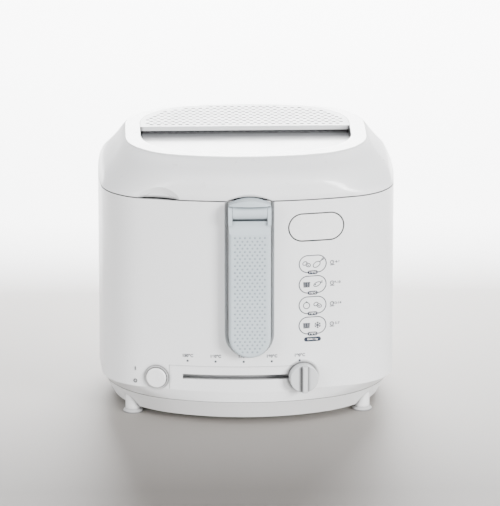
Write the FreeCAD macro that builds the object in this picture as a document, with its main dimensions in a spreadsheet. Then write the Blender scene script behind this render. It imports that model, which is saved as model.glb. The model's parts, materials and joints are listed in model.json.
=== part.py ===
"""Deep fryer with a hinged lid, a lifting basket and a folding handle.

Millimetres. +Z is up, -Y is the front, and the origin is on the table under the middle of the body.
Every driving dimension is a cell of the sheet "Sizes", and every piece is bound to those cells.
"""
import FreeCAD, Part
import math
import os
import Sketcher
from FreeCAD import Placement, Rotation, Vector

os.makedirs("parts", exist_ok=True)
doc = FreeCAD.newDocument("DeepFryer")
sheet = doc.addObject("Spreadsheet::Sheet", "Sizes")
nodes = []


# ---------------------------------------------------------------- sizes

class Size:
    """A number together with the spreadsheet formula that gives it."""

    def __init__(self, value, text):
        self.value = value
        self.text = text

    def __add__(self, other):
        return combine(self, other, "+")

    def __radd__(self, other):
        return combine(other, self, "+")

    def __sub__(self, other):
        return combine(self, other, "-")

    def __rsub__(self, other):
        return combine(other, self, "-")

    def __mul__(self, other):
        return combine(self, other, "*")

    def __rmul__(self, other):
        return combine(other, self, "*")

    def __truediv__(self, other):
        return combine(self, other, "/")

    def __neg__(self):
        return combine(0, self, "-")


def value_of(item):
    return item.value if isinstance(item, Size) else float(item)


def text_of(item):
    return item.text if isinstance(item, Size) else repr(float(item))


def combine(left, right, sign):
    a = value_of(left)
    b = value_of(right)
    result = {"+": a + b, "-": a - b, "*": a * b, "/": a / b if b else 0.0}[sign]
    return Size(result, f"({text_of(left)} {sign} {text_of(right)})")


def sine(angle):
    return Size(math.sin(math.radians(value_of(angle))), f"sin({text_of(angle)} * 1 deg)")


def cosine(angle):
    return Size(math.cos(math.radians(value_of(angle))), f"cos({text_of(angle)} * 1 deg)")


def size(name, value):
    """Write one driving dimension into the next row of the sheet."""
    row = size.row = getattr(size, "row", 0) + 1
    sheet.set(f"A{row}", name)
    sheet.set(f"B{row}", repr(value))
    sheet.setAlias(f"B{row}", name)
    return Size(float(value), f"Sizes.{name}")


# body
half_width = size("half_width", 150)
half_depth = size("half_depth", 130)
corner_radius = size("corner_radius", 57)
front_radius = size("front_radius", 362)
side_radius = size("side_radius", 730)
wall = size("wall", 2.5)
foot_height = size("foot_height", 7)
tray_top = size("tray_top", 26.1)
seam_gap = size("seam_gap", 0.4)
skirt_top = size("skirt_top", 40)
casing_top = size("casing_top", 236.4)
rear_reach = size("rear_reach", 145)
# base tray and feet
tray_inset = size("tray_inset", 14)
tray_radius = size("tray_radius", 97)
tray_front_radius = size("tray_front_radius", 190)
seam_inset_side = size("seam_inset_side", 5)
seam_inset_front = size("seam_inset_front", 2)
seam_radius = size("seam_radius", 100)
seam_front_radius = size("seam_front_radius", 230)
seam_side_radius = size("seam_side_radius", 450)
foot_x = size("foot_x", 116.5)
foot_y = size("foot_y", 70)
foot_radius = size("foot_radius", 7.6)
foot_rise = size("foot_rise", 20)
pad_radius = size("pad_radius", 10)
pad_height = size("pad_height", 3.6)
# collar, bowl and basket
collar_side = size("collar_side", 120)
collar_front = size("collar_front", 100)
collar_radius = size("collar_radius", 52)
inner_front_radius = size("inner_front_radius", 332)
inner_side_radius = size("inner_side_radius", 700)
collar_wall = size("collar_wall", 2)
collar_flange = size("collar_flange", 6)
collar_bottom = size("collar_bottom", 190)
bowl_inset = size("bowl_inset", 8)
bowl_wall = size("bowl_wall", 1.5)
bowl_bottom = size("bowl_bottom", 102)
bowl_round = size("bowl_round", 12)
basket_gap = size("basket_gap", 6)
basket_wall = size("basket_wall", 2)
basket_bottom = size("basket_bottom", 116)
rim_wire = size("rim_wire", 4)
slot_floor = size("slot_floor", 195)
tongue_thick = size("tongue_thick", 2.5)
tongue_half = size("tongue_half", 13)
slot_gap = size("slot_gap", 2)
# lid
lid_gap = size("lid_gap", 1.2)
lid_height = size("lid_height", 37.9)
lid_bevel = size("lid_bevel", 1.2)
ring_side = size("ring_side", 123)
ring_front = size("ring_front", 104.7)
ring_back_shift = size("ring_back_shift", 2.3)
ring_radius = size("ring_radius", 72)
ring_front_radius = size("ring_front_radius", 268)
ring_side_radius = size("ring_side_radius", 1500)
recess_side = size("recess_side", 107)
recess_front = size("recess_front", 93.8)
recess_shift = size("recess_shift", 7.2)
recess_radius = size("recess_radius", 66)
recess_front_radius = size("recess_front_radius", 275)
recess_side_radius = size("recess_side_radius", 1500)
ledge_drop = size("ledge_drop", 11)
ledge_wide = size("ledge_wide", 4)
grille_front = size("grille_front", 16)
grille_thick = size("grille_thick", 4.4)
grille_pitch = size("grille_pitch", 7.3)
grille_row = size("grille_row", 6.3)
grille_hole_wide = size("grille_hole_wide", 4.4)
grille_hole_deep = size("grille_hole_deep", 3.2)
window_drop = size("window_drop", 8)
window_thick = size("window_thick", 2)
inner_plate_low = size("inner_plate_low", 243)
inner_plate_top = size("inner_plate_top", 256)
# the outlines between the lid's lower edge and its top ring, from the lowest: how far the sides and the
# front lie inside the body, the shift to the rear, the radii of corner, front and side, and the rise
LEVEL_SIZES = ("side", "front", "shift", "corner", "front_radius", "side_radius", "rise")
LID_LEVELS = [[size(f"lid_{name}_{number}", value) for name, value in zip(LEVEL_SIZES, values)]
              for number, values in enumerate([(4, 2.1, -1.9, 72, 358, 740, 8.8),
                                               (10, 5, -3.9, 84, 350, 780, 17),
                                               (17, 9.5, -4, 84, 335, 900, 25),
                                               (22.5, 16.9, -1.2, 78, 305, 1150, 31.7)], 1)]
scallop_turn = size("scallop_turn", -14.48)
scoop_radius = size("scoop_radius", 65)
scoop_out = size("scoop_out", 59)
scoop_half = size("scoop_half", 25)
scoop_rise = size("scoop_rise", 11.4)
arch_rise = size("arch_rise", 4.4)
arch_radius = size("arch_radius", 62)
# hinge of the lid
hinge_y = size("hinge_y", 139)
hinge_z = size("hinge_z", 240)
pin_radius = size("pin_radius", 2)
pin_play = size("pin_play", 0.05)
lug_radius = size("lug_radius", 5.2)
lug_x = size("lug_x", 28)
lug_wide = size("lug_wide", 12)
hinge_gap = size("hinge_gap", 0.5)
ear_wide = size("ear_wide", 8)
# handle
channel_half = size("channel_half", 25.5)
channel_slope = size("channel_slope", 3.5)
channel_depth = size("channel_depth", 5)
channel_low = size("channel_low", 73.4)
handle_half = size("handle_half", 20.7)
handle_low = size("handle_low", 78)
handle_front = size("handle_front", 145)
grip_back = size("grip_back", 130.5)
grip_step = size("grip_step", 190)
plate_front = size("plate_front", 133)
plate_back = size("plate_back", 130.6)
knuckle_y = size("knuckle_y", 137.6)
knuckle_z = size("knuckle_z", 227.8)
knuckle_radius = size("knuckle_radius", 7)
knuckle_half = size("knuckle_half", 17.2)
ear_gap = size("ear_gap", 0.4)
cap_half = size("cap_half", 20.8)
cap_rise = size("cap_rise", 6.2)
cap_curve = size("cap_curve", 60)
cap_arch = size("cap_arch", 40)
handle_ear = size("handle_ear", 3.7)
ear_radius = size("ear_radius", 7)
band_z = size("band_z", 215)
band_radius = size("band_radius", 14)
band_depth = size("band_depth", 3)
# controls on the front
power_turn = size("power_turn", -14.87)
power_z = size("power_z", 51)
bezel_radius = size("bezel_radius", 12.2)
cap_radius = size("cap_radius", 10.3)
cap_proud = size("cap_proud", 4)
release_turn = size("release_turn", 10.67)
release_z = size("release_z", 208.5)
release_wide = size("release_wide", 57.6)
release_tall = size("release_tall", 29.6)
release_gap = size("release_gap", 1.4)
slider_z = size("slider_z", 53.3)
slider_tall = size("slider_tall", 5.1)
slider_turn = size("slider_turn", 8.5)
slider_travel = size("slider_travel", 18.5)
knob_radius = size("knob_radius", 14.4)
knob_proud = size("knob_proud", 15)
grip_ridge = size("grip_ridge", 5)
panel_up = size("panel_up", 11.6)
panel_down = size("panel_down", 19.5)
panel_depth = size("panel_depth", 0.4)
# inside
cord_x = size("cord_x", -70)
cord_z = size("cord_z", 52)
cord_hole = size("cord_hole", 8)
catch_x = size("catch_x", 66)
catch_y = size("catch_y", 111)
element_ring = size("element_ring", 62)
element_tube = size("element_tube", 3.5)
reflector_low = size("reflector_low", 84)
sheet_thick = size("sheet_thick", 1)
guide_inset = size("guide_inset", 12)
post_radius = size("post_radius", 5)
post_x = size("post_x", 78)
post_y = size("post_y", 58)
latch_y = size("latch_y", 106.4)
latch_z = size("latch_z", 229.5)
boss_x = size("boss_x", 116)
boss_y = size("boss_y", 50)
boss_radius = size("boss_radius", 4)
thermostat_x = size("thermostat_x", 14)
thermostat_y = size("thermostat_y", 20)
thermostat_low = size("thermostat_low", 38)
thermostat_side = size("thermostat_side", 36)
thermostat_tall = size("thermostat_tall", 24)
spindle_radius = size("spindle_radius", 4)
spindle_rise = size("spindle_rise", 8)
bulb_radius = size("bulb_radius", 2.5)
bulb_long = size("bulb_long", 60)
bulb_y = size("bulb_y", -20)
fuse_radius = size("fuse_radius", 3.2)
fuse_long = size("fuse_long", 26)
fuse_x = size("fuse_x", -34)
fuse_y = size("fuse_y", 30)
fuse_z = size("fuse_z", 78)
terminal_x = size("terminal_x", -66)
terminal_y = size("terminal_y", 62)
terminal_long = size("terminal_long", 40)
terminal_deep = size("terminal_deep", 22)
terminal_top = size("terminal_top", 28)
power_stroke = size("power_stroke", 3)
spring_seat = size("spring_seat", 17)
spring_wall = size("spring_wall", 0.8)
power_spring_radius = size("power_spring_radius", 4.6)
release_spring_radius = size("release_spring_radius", 3.6)
release_spring_turn = size("release_spring_turn", 3.05)
# general
fit_gap = size("fit_gap", 0.4)
touch_gap = size("touch_gap", 0.05)
screw_radius = size("screw_radius", 2)
doc.recompute()

lid_bottom = casing_top + lid_gap
lid_top = lid_bottom + lid_height
ledge_top = lid_top - ledge_drop


# ---------------------------------------------------------------- sketches and features

def bind(thing, name, item):
    thing.setExpression(name, text_of(item))


def node(thing, label):
    """Name a finished piece; its label names its file."""
    thing.Label = label
    nodes.append(thing)
    return thing


def new_body(label):
    return node(doc.addObject("PartDesign::Body", label + "_body"), label)


def sketch(body, plane, x=0, y=0, z=0, turn=None):
    """An empty sketch on one of the body's origin planes, moved to a point and turned about +Z."""
    made = body.newObject("Sketcher::SketchObject", "Sketch")
    origin_plane = [f for f in body.Origin.OriginFeatures if f.Role == plane + "_Plane"][0]
    made.AttachmentSupport = [(origin_plane, "")]
    made.MapMode = "FlatFace"
    if turn is not None:
        made.AttachmentOffset = Placement(Vector(), Rotation(Vector(0, 1, 0), 1.0))
        bind(made, "AttachmentOffset.Rotation.Angle", turn)
    local = {"XY": (x, y, z), "XZ": (x, z, -y), "YZ": (y, z, x)}[plane]
    for axis, item in zip("xyz", local):
        bind(made, "AttachmentOffset.Base." + axis, item)
    return made


def fix(made, item, kind, *where):
    """Add one named dimension to a sketch and bind it to the sheet."""
    index = made.addConstraint(Sketcher.Constraint(kind, *where, value_of(item)))
    name = f"{kind.lower()}_{index}"
    made.renameConstraint(index, name)
    bind(made, "Constraints." + name, item)


def line(made, start, end):
    return made.addGeometry(Part.LineSegment(Vector(*start, 0), Vector(*end, 0)), False)


def arc(made, centre, radius, start, end):
    """An arc drawn counter-clockwise from the start angle to the end angle, in radians."""
    circle_of_arc = Part.Circle(Vector(*centre, 0), Vector(0, 0, 1), radius)
    return made.addGeometry(Part.ArcOfCircle(circle_of_arc, start, end), False)


def join(made, kind, first, second):
    """Join the end of one edge to the start of the next."""
    made.addConstraint(Sketcher.Constraint(kind, first, 2, second, 1))


def rectangle(made, wide, tall):
    w = value_of(wide) / 2
    t = value_of(tall) / 2
    corners = [(-w, -t), (w, -t), (w, t), (-w, t)]
    edges = [line(made, corners[i], corners[(i + 1) % 4]) for i in range(4)]
    for i in range(4):
        join(made, "Coincident", edges[i], edges[(i + 1) % 4])
        made.addConstraint(Sketcher.Constraint("Vertical" if i % 2 else "Horizontal", edges[i]))
    made.addConstraint(Sketcher.Constraint("Symmetric", edges[0], 1, edges[2], 1, -1, 1))
    fix(made, wide, "DistanceX", edges[0], 1, edges[0], 2)
    fix(made, tall, "DistanceY", edges[1], 1, edges[1], 2)


def circle(made, radius):
    edge = made.addGeometry(Part.Circle(Vector(), Vector(0, 0, 1), value_of(radius)), False)
    made.addConstraint(Sketcher.Constraint("Coincident", edge, 3, -1, 1))
    fix(made, radius, "Radius", edge)


def stadium(made, wide, tall):
    """A slot outline with round ends, wider than tall, centred on the sketch."""
    reach = (wide - tall) / 2
    r = value_of(tall) / 2
    c = value_of(reach)
    right = arc(made, (c, 0), r, -math.pi / 2, math.pi / 2)
    top = line(made, (c, r), (-c, r))
    left = arc(made, (-c, 0), r, math.pi / 2, math.pi * 1.5)
    low = line(made, (-c, -r), (c, -r))
    for first, second in ((right, top), (top, left), (left, low), (low, right)):
        join(made, "Tangent", first, second)
    made.addConstraint(Sketcher.Constraint("Horizontal", top))
    for end, order in ((right, (-1, 1, right, 3)), (left, (left, 3, -1, 1))):
        made.addConstraint(Sketcher.Constraint("PointOnObject", end, 3, -1))
        fix(made, reach, "DistanceX", *order)
    fix(made, tall / 2, "Radius", right)


def u_shape(made, half, low, high):
    """An upright strip with a round lower end, open edge at the top, centred on the sketch's Y axis."""
    h = value_of(half)
    base = value_of(low) + h
    top = value_of(high)
    bend = arc(made, (0, base), h, math.pi, math.tau)
    right = line(made, (h, base), (h, top))
    lid_line = line(made, (h, top), (-h, top))
    left = line(made, (-h, top), (-h, base))
    join(made, "Tangent", bend, right)
    join(made, "Coincident", right, lid_line)
    join(made, "Coincident", lid_line, left)
    join(made, "Tangent", left, bend)
    made.addConstraint(Sketcher.Constraint("Vertical", right))
    made.addConstraint(Sketcher.Constraint("Horizontal", lid_line))
    made.addConstraint(Sketcher.Constraint("PointOnObject", bend, 3, -2))
    fix(made, half, "Radius", bend)
    fix(made, low + half, "DistanceY", -1, 1, bend, 3)
    fix(made, high, "DistanceY", -1, 1, right, 2)


def polygon(made, points):
    """A closed outline through points measured from the sketch's origin."""
    values = [(value_of(x), value_of(y)) for x, y in points]
    count = len(points)
    edges = [line(made, values[i], values[(i + 1) % count]) for i in range(count)]
    for i, (x, y) in enumerate(points):
        join(made, "Coincident", edges[i], edges[(i + 1) % count])
        fix(made, x, "DistanceX", -1, 1, edges[i], 1)
        fix(made, y, "DistanceY", -1, 1, edges[i], 1)


def tangent_corner(a, b, rc, rf, rs):
    """The centre of the corner arc (+x, -y) and its two tangent points, as plain numbers."""
    front = (0.0, rf - b)
    side = (a - rs, 0.0)
    to_front = rf - rc
    to_side = rs - rc
    gap = math.dist(front, side)
    ux = (side[0] - front[0]) / gap
    uy = (side[1] - front[1]) / gap
    along = (to_front ** 2 - to_side ** 2 + gap ** 2) / (2 * gap)
    across = math.sqrt(to_front ** 2 - along ** 2)
    options = [(front[0] + ux * along + s * uy * across, front[1] + uy * along - s * ux * across)
               for s in (1, -1)]
    centre = [c for c in options if c[0] > 0 and c[1] < 0][0]
    touches = []
    for other in (front, side):
        reach = math.dist(centre, other)
        touches.append(tuple(c + (c - o) / reach * rc for c, o in zip(centre, other)))
    return centre, touches[0], touches[1]


def outline(made, half_x, half_y, corner, front, side):
    """A rounded body outline of eight tangent arcs: front, rear, two sides and four corners."""
    a, b, rc, rf, rs = [value_of(item) for item in (half_x, half_y, corner, front, side)]
    centre, low, high = tangent_corner(a, b, rc, rf, rs)

    def angle(at, point):
        return math.atan2(point[1] - at[1], point[0] - at[0])

    front_angle = angle((0, rf - b), low)
    side_angle = angle((a - rs, 0), high)
    corner_start = angle(centre, low)
    corner_end = angle(centre, high)
    half = math.pi / 2
    pieces = [((0, rf - b), rf, -math.pi - front_angle, front_angle),
              (centre, rc, corner_start, corner_end),
              ((a - rs, 0), rs, side_angle, -side_angle),
              ((centre[0], -centre[1]), rc, -corner_end, -corner_start),
              ((0, b - rf), rf, -front_angle, math.pi + front_angle),
              ((-centre[0], -centre[1]), rc, half * 2 + corner_start, half * 2 + corner_end),
              ((rs - a, 0), rs, half * 2 + side_angle, half * 2 - side_angle),
              ((-centre[0], centre[1]), rc, half * 2 - corner_end, half * 2 - corner_start)]
    edges = [arc(made, *piece) for piece in pieces]
    for i in range(8):
        join(made, "Tangent", edges[i], edges[(i + 1) % 8])
    for i, radius in enumerate((front, corner, side, corner) * 2):
        fix(made, radius, "Radius", edges[i])
    for i, order, reach in ((0, (-1, 1, edges[0], 3), front - half_y),
                            (4, (edges[4], 3, -1, 1), front - half_y)):
        made.addConstraint(Sketcher.Constraint("PointOnObject", edges[i], 3, -2))
        fix(made, reach, "DistanceY", *order)
    for i, order, reach in ((2, (edges[2], 3, -1, 1), side - half_x),
                            (6, (-1, 1, edges[6], 3), side - half_x)):
        made.addConstraint(Sketcher.Constraint("PointOnObject", edges[i], 3, -1))
        fix(made, reach, "DistanceX", *order)


def body_outline(made, inset):
    outline(made, half_width - inset, half_depth - inset, corner_radius - inset,
            front_radius - inset, side_radius - inset)


def inner_outline(made, inset):
    """The outline that the collar, the bowl and the basket share, inset from the collar's inside."""
    outline(made, collar_side - inset, collar_front - inset, collar_radius - inset,
            inner_front_radius - inset, inner_side_radius - inset)


def seam_outline(made, inset):
    outline(made, half_width - seam_inset_side - inset, half_depth - seam_inset_front - inset,
            seam_radius - inset, seam_front_radius - inset, seam_side_radius - inset)


def tray_outline(made, inset):
    outline(made, half_width - tray_inset - inset, half_depth - tray_inset - inset,
            tray_radius - inset, tray_front_radius - inset, seam_side_radius - inset)


def ring_outline(made, inset):
    outline(made, ring_side - inset, ring_front - inset, ring_radius - inset,
            ring_front_radius - inset, ring_side_radius - inset)


def recess_outline(made, inset):
    outline(made, recess_side - inset, recess_front - inset, recess_radius - inset,
            recess_front_radius - inset, recess_side_radius - inset)


def feature(body, kind, profile, length, reverse=False):
    """A pad or a pocket of one sketch."""
    made = body.newObject("PartDesign::" + kind, kind)
    made.Profile = profile
    bind(made, "Length", length)
    made.Reversed = reverse
    profile.Visibility = False
    return made


def pad(body, profile, length, reverse=False):
    return feature(body, "Pad", profile, length, reverse)


def pocket(body, profile, length, reverse=False):
    return feature(body, "Pocket", profile, length, reverse)


def loft(body, low, high, cut=False):
    made = body.newObject("PartDesign::SubtractiveLoft" if cut else "PartDesign::AdditiveLoft", "Loft")
    made.Profile = low
    made.Sections = [high]
    made.Ruled = True
    return made


def outlined(body, draw, inset, x=0, y=0, z=0):
    """A level sketch that holds one of the outlines above."""
    made = sketch(body, "XY", x, y, z)
    draw(made, inset)
    return made


def edges_where(shape, test):
    return [f"Edge{i + 1}" for i, edge in enumerate(shape.Edges) if test(edge)]


def dress(body, kind, base, amount, test):
    """A fillet or a chamfer on every edge of the base that passes the test."""
    doc.recompute()
    made = body.newObject("PartDesign::" + kind, kind)
    made.Base = (base, edges_where(base.Shape, test))
    bind(made, "Radius" if kind == "Fillet" else "Size", amount)
    return made


def level(height, slack=0.05):
    """A test for edges that lie flat at one height."""
    z = value_of(height)

    def test(edge):
        box = edge.BoundBox
        return abs(box.ZMin - z) < slack and abs(box.ZMax - z) < slack
    return test


def place(thing, x=0, y=0, z=0, rotation=None):
    thing.Placement = Placement(Vector(), rotation or Rotation())
    for axis, item in zip("xyz", (x, y, z)):
        bind(thing, "Placement.Base." + axis, item)
    return thing


ALONG_X = Rotation(Vector(0, 1, 0), 90)
ALONG_Y = Rotation(Vector(1, 0, 0), -90)


def block(low, high):
    """A box between two corners."""
    made = doc.addObject("Part::Box", "Box")
    for name, a, b in zip(("Length", "Width", "Height"), low, high):
        bind(made, name, b - a)
    return place(made, *low)


def rod(radius, length, x=0, y=0, z=0, rotation=None):
    made = doc.addObject("Part::Cylinder", "Cylinder")
    bind(made, "Radius", radius)
    bind(made, "Height", length)
    return place(made, x, y, z, rotation)


def cut(base, tool):
    made = doc.addObject("Part::Cut", "Cut")
    made.Base = base
    made.Tool = tool
    return made


def common(first, second):
    made = doc.addObject("Part::Common", "Common")
    made.Base = first
    made.Tool = second
    return made


def fuse(*things):
    made = doc.addObject("Part::MultiFuse", "Fusion")
    made.Shapes = list(things)
    return made


def tube(outer, inner, length, x=0, y=0, z=0, rotation=None):
    return cut(rod(outer, length, x, y, z, rotation), rod(inner, length, x, y, z, rotation))


def on_front(turn, inward=0):
    """A point on the curved front, turned about +Z from straight ahead, moved inward."""
    reach = front_radius - inward
    return reach * sine(turn), front_radius - half_depth - reach * cosine(turn)


def front_sketch(body, turn, z, inward=0):
    """A sketch that faces straight out of the curved front."""
    x, y = on_front(turn, inward)
    return sketch(body, "XZ", x, y, z, turn)


# ---------------------------------------------------------------- housing

tongue_low = slot_floor + 0.5
notch_half = tongue_half + slot_gap
trough_half = notch_half + collar_wall
channel_floor = half_depth - channel_depth
deck_low = casing_top - wall


def make_outer_casing():
    body = new_body("outer_casing")
    casing_low = tray_top + seam_gap
    pad(body, outlined(body, body_outline, 0, z=skirt_top), casing_top - skirt_top)
    loft(body, outlined(body, seam_outline, 0, z=casing_low), outlined(body, body_outline, 0, z=skirt_top))
    pocket(body, outlined(body, body_outline, wall, z=skirt_top), deck_low - skirt_top, reverse=True)
    loft(body, outlined(body, seam_outline, wall, z=casing_low),
         outlined(body, body_outline, wall, z=skirt_top), cut=True)
    pocket(body, outlined(body, inner_outline, -collar_wall - fit_gap, z=casing_top), wall)
    # the wall behind the handle's channel, then the channel itself
    backing = sketch(body, "XZ", y=-(half_depth - 2))
    u_shape(backing, channel_half + wall, channel_low - wall, casing_top)
    pad(body, backing, half_depth - 2 - channel_floor + wall, reverse=True)
    wide_mouth = sketch(body, "XZ", y=-(half_depth + 1))
    u_shape(wide_mouth, channel_half + 0.6, channel_low, casing_top + 2)
    narrow_floor = sketch(body, "XZ", y=-channel_floor)
    u_shape(narrow_floor, channel_half - channel_slope, channel_low + channel_slope, casing_top + 2)
    loft(body, wide_mouth, narrow_floor, cut=True)
    # the slot that the basket's tongue rides in, open at the top, and the room for the collar's trough
    slot = sketch(body, "XZ", y=-(half_depth + 1), z=(slot_floor + casing_top) / 2 + 1)
    rectangle(slot, 2 * notch_half, casing_top - slot_floor + 2)
    pocket(body, slot, 1 + channel_depth + wall + 1)
    notch = sketch(body, "XY", y=-(channel_floor - wall + collar_front) / 2, z=casing_top)
    rectangle(notch, 2 * (trough_half + fit_gap), channel_floor - wall - collar_front)
    pocket(body, notch, wall)
    # holes for the button, the temperature slider and the lid release
    hole = front_sketch(body, power_turn, power_z, -1)
    circle(hole, bezel_radius)
    pocket(body, hole, wall + 4)
    left = front_radius * sine(slider_turn - slider_travel) - 4
    right = front_radius * sine(slider_turn) + 4
    slider_slot = sketch(body, "XZ", (left + right) / 2, -(half_depth + 1), slider_z)
    rectangle(slider_slot, right - left, slider_tall)
    pocket(body, slider_slot, 14)
    band = sketch(body, "YZ", 0, front_radius - half_depth, slider_z, power_turn + 2)
    band_out = front_radius + 1
    band_in = front_radius - panel_depth
    polygon(band, [(-band_out, -panel_down), (-band_in, -panel_down), (-band_in, panel_up),
                   (-band_out, panel_up)])
    groove = body.newObject("PartDesign::Groove", "PanelBand")
    groove.Profile = band
    groove.ReferenceAxis = (band, ["V_Axis"])
    bind(groove, "Angle", slider_turn - power_turn - 2)
    release = front_sketch(body, release_turn, release_z, -2)
    stadium(release, release_wide, release_tall)
    pocket(body, release, wall + 5)
    # the cord inlet at the rear and the slot for the lid's catch
    inlet = sketch(body, "XZ", cord_x, half_depth + 2, cord_z)
    circle(inlet, cord_hole)
    pocket(body, inlet, wall + 20, reverse=True)
    catch = sketch(body, "XY", catch_x, -catch_y, casing_top)
    rectangle(catch, 16, 9)
    pocket(body, catch, wall)


def make_base_tray():
    body = new_body("base_tray")
    loft(body, outlined(body, tray_outline, 0, z=foot_height),
         outlined(body, seam_outline, 0, z=tray_top))
    loft(body, outlined(body, tray_outline, wall, z=foot_height + wall),
         outlined(body, seam_outline, wall, z=tray_top), cut=True)
    vent = sketch(body, "XY", 0, -42, foot_height)
    rectangle(vent, 70, 4)
    first_vent = pocket(body, vent, wall, reverse=True)
    rows = body.newObject("PartDesign::LinearPattern", "Vents")
    rows.Originals = [first_vent]
    rows.Direction = (vent, ["V_Axis"])
    rows.Length = 84
    rows.Occurrences = 8
    body.Tip = rows
    for x in (-1, 1):
        for y in (-1, 1):
            hole = sketch(body, "XY", x * post_x, y * post_y, foot_height)
            circle(hole, screw_radius + fit_gap / 2)
            pocket(body, hole, wall, reverse=True)


def make_feet():
    """Four posts that rise to the sloped base, each on a flared pad."""
    form = doc.addObject("PartDesign::Body", "tray_form")
    loft(form, outlined(form, tray_outline, -touch_gap, z=foot_height - touch_gap),
         outlined(form, seam_outline, -touch_gap, z=tray_top))
    for side, x in (("left", -foot_x), ("right", foot_x)):
        for end, y in (("front", -foot_y), ("rear", foot_y)):
            post = rod(foot_radius, foot_rise, x, y, pad_height)
            node(cut(post, form), f"foot_{end}_{side}")
            body = new_body(f"foot_pad_{end}_{side}")
            ring = sketch(body, "XY", x, y)
            circle(ring, pad_radius)
            dress(body, "Chamfer", pad(body, ring, pad_height), pad_height - 1.4, level(pad_height))


def make_rim_collar():
    """The ring that lines the opening, carries the bowl and holds the trough behind the handle."""
    body = new_body("rim_collar")
    flange_low = casing_top + touch_gap
    pad(body, outlined(body, inner_outline, -collar_wall - collar_flange, z=flange_low), collar_wall)
    pad(body, outlined(body, inner_outline, -collar_wall, z=collar_bottom), flange_low - collar_bottom)
    trough_long = channel_floor - wall - touch_gap - collar_front + 4
    trough = sketch(body, "XY", y=-(channel_floor - wall - touch_gap - trough_long / 2),
                    z=slot_floor - collar_wall)
    rectangle(trough, 2 * trough_half, trough_long)
    pad(body, trough, casing_top - slot_floor + collar_wall)
    pocket(body, outlined(body, inner_outline, 0, z=lid_bottom + 4),
           lid_bottom + 4 - collar_bottom - collar_wall)
    bowl_hole = outlined(body, inner_outline, bowl_inset - bowl_wall - fit_gap,
                         z=collar_bottom + collar_wall + 1)
    pocket(body, bowl_hole, collar_wall + 2)
    opening = sketch(body, "XY", y=-(channel_floor + collar_front) / 2, z=lid_bottom + 4)
    rectangle(opening, 2 * notch_half, channel_floor - collar_front + 12)
    pocket(body, opening, lid_bottom + 4 - slot_floor)


def make_oil_bowl():
    body = new_body("oil_bowl")
    ledge = collar_bottom + collar_wall + touch_gap
    inside = bowl_inset
    pad(body, outlined(body, inner_outline, inside - bowl_wall, z=bowl_bottom), ledge - bowl_bottom)
    pad(body, outlined(body, inner_outline, fit_gap, z=ledge), bowl_wall)
    hollow = pocket(body, outlined(body, inner_outline, inside, z=ledge + bowl_wall),
                    ledge - bowl_bottom)
    inner = dress(body, "Fillet", hollow, bowl_round - bowl_wall, level(bowl_bottom + bowl_wall))
    dress(body, "Fillet", inner, bowl_round, level(bowl_bottom))


def make_heating():
    """The ring element under the bowl, the reflector below it and the heat controls."""
    ring_z = bowl_bottom - element_tube - fit_gap
    ring = doc.addObject("Part::Torus", "Torus")
    bind(ring, "Radius1", element_ring)
    bind(ring, "Radius2", element_tube)
    place(ring, z=ring_z)
    terminals = [rod(element_tube - 1, ring_z - reflector_low + 6, x, element_ring, reflector_low - 6)
                 for x in (-9, 9)]
    node(fuse(ring, *terminals), "heating_element")

    body = new_body("heat_reflector")
    pad(body, outlined(body, inner_outline, bowl_inset, z=reflector_low), 9)
    pocket(body, outlined(body, inner_outline, bowl_inset + sheet_thick,
                          z=reflector_low + 9), 9 - sheet_thick)
    for x in (-9, 9):
        hole = sketch(body, "XY", x, element_ring, reflector_low + sheet_thick)
        circle(hole, element_tube)
        pocket(body, hole, sheet_thick)

    post_low = foot_height + wall + touch_gap
    posts = [tube(post_radius, screw_radius + fit_gap / 2, reflector_low - touch_gap - post_low,
                  x * post_x, y * post_y, post_low) for x in (-1, 1) for y in (-1, 1)]
    compound("reflector_posts", posts)
    sheet_top = reflector_low + sheet_thick + touch_gap
    spacers = [rod(post_radius - 1, bowl_bottom - touch_gap - sheet_top, x * post_x, y * post_y, sheet_top)
               for x in (-1, 1) for y in (-1, 1)]
    compound("bowl_spacers", spacers)
    screws = [fuse(rod(screw_radius * 2, 1.6, x * post_x, y * post_y, foot_height - 1.6 - touch_gap),
                   rod(screw_radius, 14, x * post_x, y * post_y, foot_height - 1.6 - touch_gap))
              for x in (-1, 1) for y in (-1, 1)]
    compound("tray_screws", screws)


def compound(label, things):
    """Several separate solids that are one piece group."""
    made = doc.addObject("Part::Compound", "Group")
    made.Links = things
    return node(made, label)


def curved_block(inner, outer, low, high, first, last):
    """A block that follows the front's curve between two angles, measured inward from the front."""
    arms = []
    for reach in (front_radius - inner, front_radius - outer):
        piece = doc.addObject("Part::Cylinder", "Sector")
        bind(piece, "Radius", reach)
        bind(piece, "Height", high - low)
        bind(piece, "Angle", last - first)
        place(piece, 0, front_radius - half_depth, low, Rotation(Vector(0, 0, 1), 1.0))
        bind(piece, "Placement.Rotation.Angle", first - 90)
        arms.append(piece)
    return cut(arms[0], arms[1])


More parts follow.
